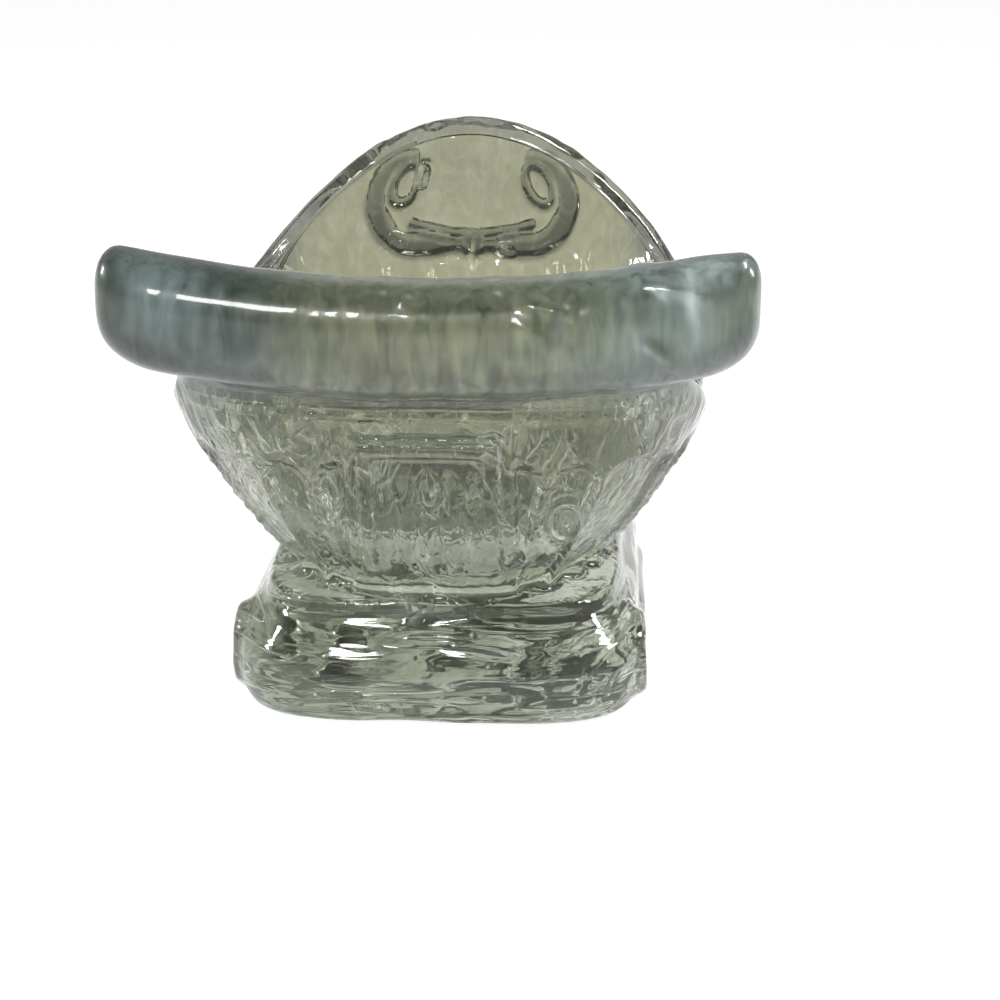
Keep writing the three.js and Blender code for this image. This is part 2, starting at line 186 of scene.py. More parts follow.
tubSizes = {
    "apexHeight": cadHigh[2] / mm,
    "footHeight": footBox[1][2] / mm,
    "tubTopHalfWidth": 56.0,
    "tubBottomHalfWidth": 30.5,
    "frontTopReach": 63.0,
    "frontBottomReach": 43.0,
    "backTopReach": 68.4,
    "backBottomReach": 46.0,
    "bilgePower": 2.6,
    "backRakePower": 1.6,
    "planPower": 4.0,
    "planPowerBelow": 2.5,
    "wallThickness": 7.5,
    "floorThickness": 7.5,
    "floorFillet": 14.0,
    "archSpread": 71.4,
    "dipHeight": 56.0,
    "dipPlace": -10.0,
    "backSheerRise": 52.0,
    "frontRimRise": 27.0,
    "rimBlend": 6.0,
    "fluteDepth": 1.8,
    "fluteHeight": 30.0,
    "fluteBelowRim": 9.0,
    "fluteArchRise": 5.5,
    "fluteFootRise": 4.0,
    "sideFlutes": 10.0,
    "endFlutes": 8.0,
    "plainFrontHalfWidth": 15.0,
    "plainBackHalfWidth": 26.0,
}
rollSizes = {
    "rollHalfLength": rollBox[1][0] / mm,
    "rollFrontReach": -rollBox[0][1] / mm,
    "rollDepth": 19.5,
    "rollHeight": 20.2,
    "rollCentreHeight": 75.4,
    "rollLift": 5.6,
    "rollBow": 2.5,
    "rollSectionPower": 2.6,
    "rollTopCorner": 4.0,
    "rollLowerCornerLength": 11.0,
    "rollLowerCornerHeight": 6.5,
    "rollEndThinning": 0.5,
    "rollBlend": 4.0,
    "ribPitch": 4.2,
    "ribDepth": 0.3,
    "ribHalfReach": 48.0,
    "ribHalfHeight": 6.5,
}
# Welts on the front of the roll, each between two places, x and z
rollWelts = [
    {"a": (36.5, 87.3), "b": (47.5, 84.6), "reach": 1.9, "height": 0.75},
    {"a": (38.3, 76.3), "b": (41.8, 73.2), "reach": 2.2, "height": 0.8},
    {"a": (17.5, 83.6), "b": (24.0, 82.0), "reach": 2.0, "height": 0.55},
    {"a": (24.0, 82.0), "b": (25.0, 77.5), "reach": 1.9, "height": 0.55},
    {"a": (17.0, 79.5), "b": (21.0, 76.8), "reach": 2.0, "height": 0.5},
    {"a": (-8.2, 84.6), "b": (-7.4, 84.6), "reach": 1.6, "height": 0.5},
    {"a": (-3.8, 83.8), "b": (-3.0, 83.8), "reach": 1.6, "height": 0.5},
    {"a": (11.2, 84.6), "b": (12.0, 84.6), "reach": 1.6, "height": 0.5},
]
footSizes = {
    "footHalfWidth": 39.7,
    "footFrontReach": -footBox[0][1] / mm,
    "footBackReach": footBox[1][1] / mm,
    "footFaceHeight": 9.9,
    "footCove": 6.0,
    "footHeel": 2.4,
    "footHollowDepth": 3.5,
    "footHollowMargin": 13.0,
    "footPlanPower": 5.0,
    "footBlend": 3.5,
    "runnerSeat": runnerBox[0][0] / mm,
    "runnerProud": runnerBox[1][0] / mm,
    "runnerRoom": 0.9,  # kept free for the waves of the skin
    "runnerThickness": 5.5,
    "runnerBackReach": 38.5,
    "runnerCurlPlace": -29.5,
    "runnerCurlRadius": 6.6,
    "runnerBlend": 4.0,
}
reliefSizes = {
    "panelHalfWidth": panelBox[1][0] / mm,
    "panelBottom": panelBox[0][2] / mm,
    "panelTop": panelBox[1][2] / mm,
    "panelFrame": 2.6,
    "panelRelief": 2.2,
    "panelGround": 0.8,
    "reedCount": 5.0,
    "reedRelief": 1.4,
    "beadHeight": 61.3,
    "beadSpacing": 2.6,
    "beadRelief": 0.7,
    "beadHalfWidth": 0.9,
    "scrollRelief": 1.5,
    "scrollCentreX": 12.6,
    "scrollCentreHeight": 78.0,
    "scrollHalfWidth": 9.0,
    "scrollHalfHeight": 9.7,
    "scrollBand": 4.2,
    "scrollTopBand": 2.2,
    "eyeX": 2.2,
    "eyeRise": 3.7,
    "eyeWidth": 5.2,
    "eyeHeight": 9.4,
    "eyeBand": 1.3,
    "bowHalfWidth": 14.0,
    "bowHeight": 70.6,
    "bowSag": 2.4,
    "bowHalfBand": 0.8,
    "stemX": 1.4,
    "stemHalfBand": 0.75,
    "stemHalfLength": 2.0,
    "waveHeight": 0.6,
    "waveLength": 7.5,
}
meshSizes = {"voxel": 0.96}


# Named inputs of a tree, one for each size in the dictionaries
def nameInputs(tree, sizes):
    tree.interface.new_socket("Geometry", in_out="OUTPUT", socket_type="NodeSocketGeometry")
    for name, value in sizes.items():
        socket = tree.interface.new_socket(name, in_out="INPUT", socket_type="NodeSocketFloat")
        socket.default_value = value


class Sizes:
    def __init__(self, tree):
        self.tree = tree
        self.source = tree.nodes.new("NodeGroupInput")

    def __getattr__(self, name):
        return Wire(self.tree, self.source.outputs[name])


# The same sizes as plain numbers, for a rule that the glass material shares with the shape
class Fixed:
    def __init__(self, sizes):
        self.__dict__.update(sizes)


def tubRule(s, x, y, z):
    floorHeight = s.footHeight + s.floorThickness
    left = larger((s.apexHeight - z) / (s.apexHeight - s.footHeight), 0)
    bilge = left ** s.bilgePower
    front = -(s.frontTopReach - (s.frontTopReach - s.frontBottomReach) * bilge)
    back = s.backTopReach - (s.backTopReach - s.backBottomReach) * left ** s.backRakePower
    halfWidth = s.tubTopHalfWidth - (s.tubTopHalfWidth - s.tubBottomHalfWidth) * bilge
    halfLength = (back - front) / 2
    middle = (back + front) / 2
    along = y - middle
    radius = s.wallThickness / 2
    planPower = s.planPower - (s.planPower - s.planPowerBelow) * bilge
    midWall = ovalDistance(x, along, halfWidth - radius, halfLength - radius, planPower)

    # The rim line rises from its dip to the roll and, more steeply, into the arch of the seat back
    arch = s.apexHeight - x * x / s.archSpread
    backSweep = s.backSheerRise / ((s.backTopReach - s.dipPlace) ** 2)
    frontSweep = s.frontRimRise / ((s.dipPlace + s.frontTopReach) ** 2)
    past = y - s.dipPlace
    sweep = blendOf(frontSweep, backSweep, above(past, 0))
    rim = smoothSmaller(arch, s.dipHeight + sweep * past * past, s.rimBlend)

    relief = reliefRule(s, x, along, z, halfWidth, halfLength, rim)
    outer = midWall - radius - relief
    cavity = smoothLarger(midWall + radius, floorHeight - z, s.floorFillet)
    slab = larger(larger(outer, -cavity) + radius, 0)
    over = larger(z - rim + radius, 0)
    shell = root(over * over + slab * slab) - radius
    return larger(shell, s.footHeight - 3 - z)


# Height of the pressed pattern above the plain outer wall
def reliefRule(s, x, along, z, halfWidth, halfLength, rim):
    across = abs(x)
    isBack = above(along, 0)
    isFront = 1 - isBack

    # Arch-topped flutes, spaced evenly round the rounded plan from the middle of each side and end
    u = x / halfWidth
    v = along / halfLength
    atEnd = above(abs(v), abs(u) - 0.0001)
    arcStretch, cornerArc = 0.0726, 0.877

    def turns(t, count):
        return t * (1 + arcStretch * abs(t) ** 3) * (count / (2 * cornerArc)) + 40

    phase = blendOf(turns(v, s.sideFlutes), turns(u, s.endFlutes), atEnd)
    place = 2 * phase.math("FRACT", phase) - 1
    top = s.footHeight + smaller(s.fluteHeight, rim - s.fluteBelowRim - s.footHeight)
    topPart = larger(z - (top - s.fluteArchRise), 0) / s.fluteArchRise
    lowPart = larger(s.footHeight + s.fluteFootRise - z, 0) / s.fluteFootRise
    scoop = larger(1 - place * place - topPart * topPart - lowPart * lowPart, 0)
    plain = blendOf(s.plainFrontHalfWidth, s.plainBackHalfWidth, isBack)
    flutes = -s.fluteDepth * smaller(scoop * 1.6, 1) * step(across - plain, -0.5, 0.8)

    # The reeded panel
    half = s.panelHalfWidth
    middle = (s.panelBottom + s.panelTop) / 2
    edge = larger(across - half, abs(z - middle) - (s.panelTop - s.panelBottom) / 2)
    inside = -larger(across - half, z - s.panelTop)
    inner = half - s.panelFrame
    reedPlace = (x + inner) * s.reedCount / (2 * inner)
    reed = abs(sine(reedPlace * math.pi)) * step(s.panelTop - 4 - z, 0, 6)
    ground = s.panelGround + s.reedRelief * reed
    face = blendOf(s.panelRelief, ground, step(inside, s.panelFrame - 0.4, s.panelFrame + 0.6))
    face = face * step(z, s.panelBottom, s.panelBottom + 9)
    panel = face * step(-edge, -0.5, 0.4) * isFront

    # Two fine beads under the roll
    beads = 0
    for height in (s.beadHeight, s.beadHeight + s.beadSpacing):
        beads = beads + s.beadRelief * step(s.beadHalfWidth - abs(z - height), 0, s.beadHalfWidth)
    beads = beads * isFront * step(halfWidth * 0.86 - across, 0, 3)

    # The scrolls and the bow on the back
    scrolls = s.scrollRelief * step(-scrollDistance(s, x, z), -0.8, 0.6) * isBack
    return flutes + panel + beads + scrolls


# How far a place on the back lies outside the scrolls, the bow between them and its two stems
def scrollDistance(s, x, z):
    across = abs(x)
    besides = across - s.scrollCentreX
    height = z - s.scrollCentreHeight
    halfHeight = s.scrollHalfHeight

    # The band is widest at its side and foot, and runs in level to the stems
    ring = abs(ovalDistance(besides, height, s.scrollHalfWidth, halfHeight, 2))
    ringWidth = blendOf(s.scrollBand, s.scrollTopBand, step(height, 0, halfHeight)) / 2
    tailWidth = s.scrollBand / 2 * (0.4 + 0.6 * step(across, 3, 10))
    tail = larger(abs(height + halfHeight) - tailWidth, 2.2 - across)
    hook = larger(abs(height - halfHeight) - s.scrollTopBand / 2, -0.8 - besides)
    inner = blendOf(tail, hook, above(height, 0))
    band = blendOf(inner, ring - ringWidth, above(besides, 0))

    # The eye is an oval loop that hangs tilted from the band's upper end
    tilt = math.radians(28)
    eyeX = besides - s.eyeX
    eyeZ = height - s.eyeRise
    along = eyeX * math.cos(tilt) + eyeZ * math.sin(tilt)
    up = eyeZ * math.cos(tilt) - eyeX * math.sin(tilt)
    eye = abs(ovalDistance(along, up, s.eyeWidth / 2, s.eyeHeight / 2, 2)) - s.eyeBand / 2

    arch = s.bowHeight + s.bowSag * (across / s.bowHalfWidth) ** 2
    bow = larger(abs(z - arch) - s.bowHalfBand, across - s.bowHalfWidth)
    stemHeight = s.bowHeight - s.stemHalfLength
    stem = larger(abs(across - s.stemX) - s.stemHalfBand, abs(z - stemHeight) - s.stemHalfLength)
    return smaller(smaller(band, eye), smaller(bow, stem))


# A mesh line whose points are placed by a rule of their share along it
def ruledPath(wire, count, rule):
    line = wire.node("GeometryNodeMeshLine", {}, {"Count": count})
    share = wire.node("GeometryNodeInputIndex") / (count - 1)
    across, up = rule(share)
    place = wire.node("ShaderNodeCombineXYZ", {}, {"X": across * mm, "Z": up * mm})
    return wire.node("GeometryNodeSetPosition", {}, {"Geometry": line, "Position": place}), share


# How near a place lies to a path, less the path's own half width there
def nearPath(wire, path, place, halfWidths):
    near = wire.node("GeometryNodeProximity", {"target_element": "EDGES"},
                     {"Geometry": path, "Sample Position": place}, "Distance")
    nearest = wire.node("GeometryNodeSampleNearest", {"domain": "POINT"},
                        {"Geometry": path, "Sample Position": place})
    width = wire.node("GeometryNodeSampleIndex", {"data_type": "FLOAT", "domain": "POINT"},
                      {"Geometry": path, "Value": halfWidths, "Index": nearest})
    return near / mm - width


# A hill of height 1 along the line between two places, falling to 0 at its reach
def hill(x, z, place):
    (ax, az), (bx, bz) = place["a"], place["b"]
    runX, runZ = bx - ax, bz - az
    length = runX * runX + runZ * runZ
    share = clamped(((x - ax) * runX + (z - az) * runZ) / length)
    offX = x - (share * runX + ax)
    offZ = z - (share * runZ + az)
    return step(-root(offX * offX + offZ * offZ), -place["reach"], 0)


def rollRule(s, x, y, z):
    across = abs(x)
    reach = across / s.rollHalfLength
    away = across - s.rollHalfLength
    lift = s.rollLift * reach * reach
    lowerCorner = quarterRound(1 + away / s.rollLowerCornerLength)
    top = s.rollCentreHeight + s.rollHeight / 2 + lift
    top = top - s.rollTopCorner * quarterRound(1 + away / s.rollTopCorner)
    bottom = s.rollCentreHeight - s.rollHeight / 2 + lift + s.rollLowerCornerHeight * lowerCorner
    halfDepth = s.rollDepth / 2 * (1 - s.rollEndThinning * lowerCorner)
    centre = s.rollDepth / 2 - s.rollFrontReach + s.rollBow * reach * reach
    halfHeight = (top - bottom) / 2
    middle = (top + bottom) / 2
    section = ovalDistance(y - centre, z - middle, halfDepth, halfHeight, s.rollSectionPower)

    # Fine ribs down the back of the roll
    rib = 0.5 - 0.5 * cosine(x * (2 * math.pi) / s.ribPitch)
    behind = step(y - centre, 1.5, 5) * step(s.ribHalfReach - across, 0, 4)
    behind = behind * step(s.ribHalfHeight - abs(z - middle), 0, 3)
    return smoothLarger(section + s.ribDepth * rib * behind, away, 2.5)


def footRule(s, x, y, z):
    halfLength = (s.footFrontReach + s.footBackReach) / 2
    middle = (s.footBackReach - s.footFrontReach) / 2
    heel = s.footHeel * quarterRound(1 - z / s.footFaceHeight)
    up = clamped((z - s.footFaceHeight) / (s.footHeight - s.footFaceHeight))
    inset = heel + s.footCove * (1 - cosine(up * math.pi)) / 2
    plan = ovalDistance(x, y - middle, s.footHalfWidth - inset, halfLength - inset, s.footPlanPower)
    block = smoothLarger(plan, abs(x) - s.runnerSeat, 1.5)
    block = smoothLarger(block, z - s.footHeight, 1.5)
    block = smoothLarger(block, -z, 1.2)
    hollowWidth = s.footHalfWidth - s.footHollowMargin
    hollowLength = halfLength - s.footHollowMargin
    u = x / hollowWidth
    v = (y - middle) / hollowLength
    w = z / s.footHollowDepth
    hollow = (root(u * u + v * v + w * w) - 1) * s.footHollowDepth
    return smoothLarger(block, -hollow, 1.5)


def runnerRule(s, x, y, z):
    low = s.runnerThickness / 2
    curlShare, curlTurn = 0.45, math.radians(280)
    curlTightening, curlThinning = 0.62, 1.35

    def path(share):
        curl = clamped((share - curlShare) / (1 - curlShare))
        rail = clamped(share / curlShare)
        radius = s.runnerCurlRadius * (1 - curlTightening * curl)
        along = blendOf(s.runnerBackReach, s.runnerCurlPlace, rail) - radius * sine(curl * curlTurn)
        return along, low + s.runnerCurlRadius - radius * cosine(curl * curlTurn)

    line, share = ruledPath(x, 90, path)
    place = x.node("ShaderNodeCombineXYZ", {}, {"X": y * mm, "Z": z * mm})
    curl = clamped((share - curlShare) / (1 - curlShare))
    band = nearPath(x, line, place, low - curlThinning * curl * curl)
    outside = abs(x) - s.runnerProud + s.runnerRoom
    return smoothLarger(smoothLarger(band, outside, 1.0), s.runnerSeat - 2 - abs(x), 0.3)


# Noise from 0 to 1 whose waves have a length of their own along each axis
def waveNoise(wire, x, y, z, lengths, swirl=0.0):
    place = wire.node("ShaderNodeCombineXYZ", {}, {
        "X": x / lengths[0], "Y": y / lengths[1], "Z": z / lengths[2]})
    return wire.node("ShaderNodeTexNoise", {"noise_dimensions": "3D"}, {
        "Vector": place, "Scale": 1.0, "Detail": 1.0, "Distortion": swirl})


def glassTree(sizes, material):
    tree = bpy.data.node_groups.new("pressedGlassRule", "GeometryNodeTree")
    nameInputs(tree, sizes)
    s = Sizes(tree)
    wire = Wire(tree)
    position = wire.node("GeometryNodeInputPosition")
    split = wire.node("ShaderNodeSeparateXYZ", {}, {0: position})
    x = split / mm
    y = split.out("Y") / mm
    z = split.out("Z") / mm

    tub = tubRule(s, x, y, z)
    roll = rollRule(s, x, y, z)
    foot = smoothSmaller(footRule(s, x, y, z), runnerRule(s, x, y, z), s.runnerBlend)
    glass = smoothSmaller(tub, roll, s.rollBlend)
    glass = smoothSmaller(glass, foot, s.footBlend)
    glass = larger(glass, -z)

    # Slow unevenness of a fire-polished pressing: upright in the wall and roll, level in the foot
    folds = waveNoise(wire, x, y, z, (s.waveLength, s.waveLength, s.waveLength * 5), 0.8)
    lumps = waveNoise(wire, x, y, z, (s.waveLength * 1.4, s.waveLength * 1.4, s.waveLength * 1.2))
    upright = blendOf(folds, lumps, step(z, 60, 68) * step(abs(x), 20, 40))
    level = waveNoise(wire, x, y, z, (s.waveLength * 4, s.waveLength * 4, s.waveLength * 0.8), 0.8)
    wave = blendOf(level, upright, step(z, s.footHeight - 4, s.footHeight + 5))
    onFront = step(z, 64, 69) * step(-y, 46, 54)
    calm = 1 - 0.7 * onFront * step(-x, -30, -20)
    glass = glass - (wave - 0.5) * calm * (2 * s.waveHeight)
    for welt in rollWelts:
        glass = glass - hill(x, z, welt) * onFront * welt["height"]

    margin = 3 * meshSizes["voxel"] * mm
    low = Vector(cadLow) - Vector((margin,) * 3)
    high = Vector(cadHigh) + Vector((margin,) * 3)
    counts = [math.ceil((high[i] - low[i]) / (meshSizes["voxel"] * mm)) for i in range(3)]
    volume = wire.node("GeometryNodeVolumeCube", {}, {
        "Density": -glass, "Background": -5.0, "Min": low, "Max": high,
        "Resolution X": counts[0], "Resolution Y": counts[1], "Resolution Z": counts[2],
    })
    mesh = wire.node("GeometryNodeVolumeToMesh", {}, {"Volume": volume, "Threshold": 0.0})

    # Even out the skin, then settle it on the rule's own surface
    for _ in range(2):
        even = wire.node("GeometryNodeBlurAttribute", {"data_type": "FLOAT_VECTOR"},
                         {"Value": position, "Iterations": 2, "Weight": 0.6})
        mesh = wire.node("GeometryNodeSetPosition", {}, {"Geometry": mesh, "Position": even})
        normal = wire.node("GeometryNodeInputNormal")
        for _ in range(3):
            back = wire.node("ShaderNodeVectorMath", {"operation": "SCALE"},
                             {0: normal, "Scale": glass * (-0.8 * mm)})
            mesh = wire.node("GeometryNodeSetPosition", {}, {"Geometry": mesh, "Offset": back})
    inside = wire.node("ShaderNodeVectorMath", {"operation": "MAXIMUM"}, {0: position, 1: cadLow})
    inside = wire.node("ShaderNodeVectorMath", {"operation": "MINIMUM"}, {0: inside, 1: cadHigh})
    mesh = wire.node("GeometryNodeSetPosition", {}, {"Geometry": mesh, "Position": inside})
    mesh = wire.node("GeometryNodeSetShadeSmooth", {}, {"Geometry": mesh})
    mesh = wire.node("GeometryNodeRealizeInstances", {}, {"Geometry": mesh})
    mesh = wire.node("GeometryNodeSetMaterial", {}, {"Geometry": mesh, "Material": material})
    end = tree.nodes.new("NodeGroupOutput")
    tree.links.new(mesh.socket, end.inputs["Geometry"])
    return tree


def makeGlass(material):
    sizes = {**tubSizes, **rollSizes, **footSizes, **reliefSizes}
    holder = bpy.data.objects.new("glassHolder", bpy.data.meshes.new("glassHolder"))
    bpy.context.scene.collection.objects.link(holder)
    tree = glassTree(sizes, material)
    modifier = holder.modifiers.new("pressing", "NODES")
    modifier.node_group = tree
    for item in tree.interface.items_tree:
        if item.in_out == "INPUT":
            modifier[item.identifier] = sizes[item.name]
    graph = bpy.context.evaluated_depsgraph_get()
    mesh = bpy.data.meshes.new_from_object(holder.evaluated_get(graph))
    bpy.data.objects.remove(holder)
    mesh.name = "pressed_glass_dish"
    dish = bpy.data.objects.new("pressed_glass_dish", mesh)
    bpy.context.scene.collection.objects.link(dish)
    triangles = sum(len(face.vertices) - 2 for face in mesh.polygons)
    print("glass mesh:", len(mesh.vertices), "points,", triangles, "triangles")
    return dish


finishSizes = {
    "frontTint": (0.39, 0.415, 0.32),
    "backTint": (0.33, 0.335, 0.225),
    "sideTint": (0.17, 0.185, 0.16),
    "footTint": (0.34, 0.37, 0.30),
    # Painted light: the right side of the foot painted lighter
    "footRightPaintedLight": (0.85, 0.89, 0.84),
    # Teal ends of the roll, the left end painted darker as painted shade and the right end painted
    # lighter as painted light
    "leftEndShadedTint": (0.15, 0.195, 0.19),
    "rightEndLitTint": (0.42, 0.50, 0.49),
    "rimTint": (0.22, 0.22, 0.205),
    "scrollTint": (0.10, 0.105, 0.075),
    "scrollTopTint": (0.17, 0.175, 0.125),
    # Near-white painted highlight streaks along the cords and chill rings
    "paintedStreakTint": (0.96, 0.97, 0.95),
    "paintedStreakShare": 0.95,
    "curtainDepth": 4.0,
    "rollShade": 0.2,
    "sillShade": 0.9,
    "roughness": 0.02,
    "roughnessSpread": 0.06,
    "rollHaze": 0.25,
    "endHaze": 0.05,
    "coat": 0.6,
    "coatRoughness": 0.03,
    "bumpStrength": 0.7,
    "bumpDistance": 0.0005,
    "foldHeight": 1.3,
    "sheetHeight": 0.65,
    "cordHeight": 0.5,
    "ringHeight": 0.8,
    "rimLinePlace": 3.2,
    "rimLineHeight": 1.3,
    "absorb": (0.62, 0.68, 0.55, 1),
    "density": 6.0,
    "ior": 1.52,
}
# Chill rings on the front, raised in the bump and painted near white as highlight streaks: middle,
# half width and height, count of rings, height
ringAndStreakPlaces = [
    {"x": 41.0, "z": 5.0, "wide": 20.0, "tall": 15.0, "count": 4.5, "height": 0.6},
    {"x": -33.0, "z": 43.0, "wide": 5.5, "tall": 11.0, "count": 2.5, "height": 1.0},
    {"x": 24.0, "z": 38.5, "wide": 5.5, "tall": 8.0, "count": 2.5, "height": 1.0},
    {"x": -19.0, "z": 44.0, "wide": 3.6, "tall": 9.0, "count": 2.0, "height": 0.9},
]
# Glints at the scrolls, each between two places, x and z
glintPlaces = [
    {"a": (-10.9, 83.2), "b": (-10.3, 85.6), "reach": 2.1, "height": 2.4},
    {"a": (-16.4, 70.6), "b": (-15.4, 70.2), "reach": 2.1, "height": 2.4},
    {"a": (7.4, 68.6), "b": (9.0, 68.6), "reach": 2.0, "height": 2.4},
]


# Thin lines where a noise passes its middle, raised as welts and painted near white as highlight
# streaks
def veins(wire, x, y, z, lengths, swirl):
    noise = waveNoise(wire, x, y, z, lengths, swirl)
    return (1 - abs(noise * 2 - 1)) ** 14


# Chill rings round an oval on the front, for the bump and for painted highlight streaks in the tint
def chillRingsAndStreaks(x, z, place):
    u = (x - place["x"]) / place["wide"]
    v = (z - place["z"]) / place["tall"]
    away = root(u * u + v * v)
    ringsAndPaintedStreaks = (0.5 + 0.5 * sine(away * (2 * math.pi * place["count"]))) ** 3
    return ringsAndPaintedStreaks * step(-away, -1, -0.7) * place["height"]


def mixColour(wire, share, a, b):
    a = a if isinstance(a, Wire) else (*a, 1)
    b = b if isinstance(b, Wire) else (*b, 1)
    return wire.node("ShaderNodeMix", {"data_type": "RGBA"}, {0: share, 6: a, 7: b}, 2)


# Shares from 0 to 1 that say how much a place belongs to each zone of the glass
class Zones:
    def __init__(self, wire, x, y, z):
        self.roll = step(z, 62, 67) * step(-y, 38, 46)
        self.seat = step(y, 32, 42) * step(z, 52, 60)
        self.wall = step(z, 18, 27)
        self.front = step(-y, 12, 22)
        self.back = step(y, 30, 40)
        u, v = x / 31, y / 44
        self.floor = step(-u * u - v * v, -1.0, -0.8) * step(z, 26, 29) * step(-z, -40, -34)
        self.sill = step(z, 25, 29) * step(-z, -39, -34) * step(-y, 15, 25)
        self.rollMiddle = step(x, -30, -18) * step(-x, -34, -22)
        patches = step(waveNoise(wire, x, y, z, (13, 13, 13)), 0.42, 0.56)
        self.corded = (1 - self.roll) * (1 - 0.9 * self.seat) * (1 - self.floor) * patches

        # How far a place lies inside the arch of the rim
        belowArch = tubSizes["apexHeight"] - x * x / tubSizes["archSpread"] - z
        self.insideArch = belowArch / root(1 + (x * (2 / tubSizes["archSpread"])) ** 2)


# The tint sits in thin layers near the skin, deeper towards the back, foot and ends of the roll. It
# also holds painted light: a lighter right side of the foot, a darker left and lighter right end of
# the roll, near-white painted highlight streaks and painted shade in the sill
def tintRule(wire, place, x, y, z, zones, cordsAndPaintedStreaks, ringsAndPaintedStreaks):
    f = finishSizes
    cloud = wire.node("ShaderNodeTexNoise", {}, {"Vector": place, "Scale": 45.0, "Detail": 2.0})
    cloud = cloud - 0.5
    colour = mixColour(wire, step(y + cloud * 20, -30, 55), f["frontTint"], f["backTint"])
    colour = mixColour(wire, step(abs(x) + cloud * 10, 32, 46), colour, f["sideTint"])
    # The right side of the foot is painted lighter, as painted light
    footTint = mixColour(wire, step(x + cloud * 14, 12, 30), f["footTint"], f["footRightPaintedLight"])
    colour = mixColour(wire, step(z + cloud * 6, 26, 18), colour, footTint)
    # The teal ends of the roll: the left end painted darker as painted shade, the right end lighter
    # as painted light
    atEnds = step(abs(x) + cloud * 20, 16, 36) * step(z, 60, 68) * step(-y, 25, 40)
    endTint = mixColour(wire, step(x, -30, 30), f["leftEndShadedTint"], f["rightEndLitTint"])
    colour = mixColour(wire, atEnds, colour, endTint)
    colour = mixColour(wire, step(zones.insideArch, 3.8, 2.6) * zones.back, colour, f["rimTint"])
    onScroll = step(-scrollDistance(Fixed(reliefSizes), x, z), -0.6, 0.6) * step(y, 54, 56)
    scrollTint = mixColour(wire, step(z, 72, 84), f["scrollTint"], f["scrollTopTint"])
    colour = mixColour(wire, onScroll, colour, scrollTint)
    # Cords and chill rings painted near white: painted highlight streaks
    colour = mixColour(wire, cordsAndPaintedStreaks * f["paintedStreakShare"], colour, f["paintedStreakTint"])
    colour = mixColour(wire, clamped(ringsAndPaintedStreaks), colour, f["paintedStreakTint"])

    # Faint blotches all over, curtains in the roll, and painted shade in the sill where floor and
    # front wall meet
    blotch = waveNoise(wire, x, y, z, (4, 4, 5), 1.0) - 0.5
    curtains = waveNoise(wire, x, y, z, (2.2, 2.2, 10), 0.8) - 0.5
    blotch = blotch + (curtains * f["curtainDepth"] - f["rollShade"]) * zones.roll
    blotch = blotch - zones.sill * f["sillShade"]
    strength = wire.node("ShaderNodeCombineColor", {}, {
        "Red": 1 + blotch * 0.55, "Green": 1 + blotch * 0.5, "Blue": 1 + blotch * 0.5})
    return wire.node("ShaderNodeMix", {"data_type": "RGBA", "blend_type": "MULTIPLY"},
                     {0: 1.0, 6: colour, 7: strength}, 2)


# Fine relief: upright folds in the wall, level sheets in the foot, a line inside the rim and
# glints at the scrolls
def bumpRule(wire, x, y, z, zones, cordsAndPaintedStreaks, ringsAndPaintedStreaks):
    f = finishSizes
    folds = waveNoise(wire, x, y, z, (3.0, 3.0, 20), 0.6)
    sheets = waveNoise(wire, x, y, z, (18, 18, 2.0), 0.6)
    lumps = waveNoise(wire, x, y, z, (3.4, 3.4, 3.0))
    folds = blendOf(folds, lumps, zones.roll * (1 - zones.rollMiddle) * 0.8)
    height = blendOf(sheets * f["sheetHeight"], folds * f["foldHeight"], zones.wall)
    height = height * (1 - 0.8 * zones.roll) * (1 - 0.85 * zones.floor) * (1 - 0.7 * zones.seat)
    height = height + cordsAndPaintedStreaks * f["cordHeight"] + ringsAndPaintedStreaks * f["ringHeight"]
    for glint in glintPlaces:
        height = height + hill(x, z, glint) * step(y, 40, 50) * glint["height"]
    height = height * (1 - 0.85 * step(-zones.insideArch, -5.0, -3.5) * zones.back)
    rimLine = step(-abs(zones.insideArch - f["rimLinePlace"]), -0.5, 0) * zones.back
    return height + rimLine * f["rimLineHeight"]


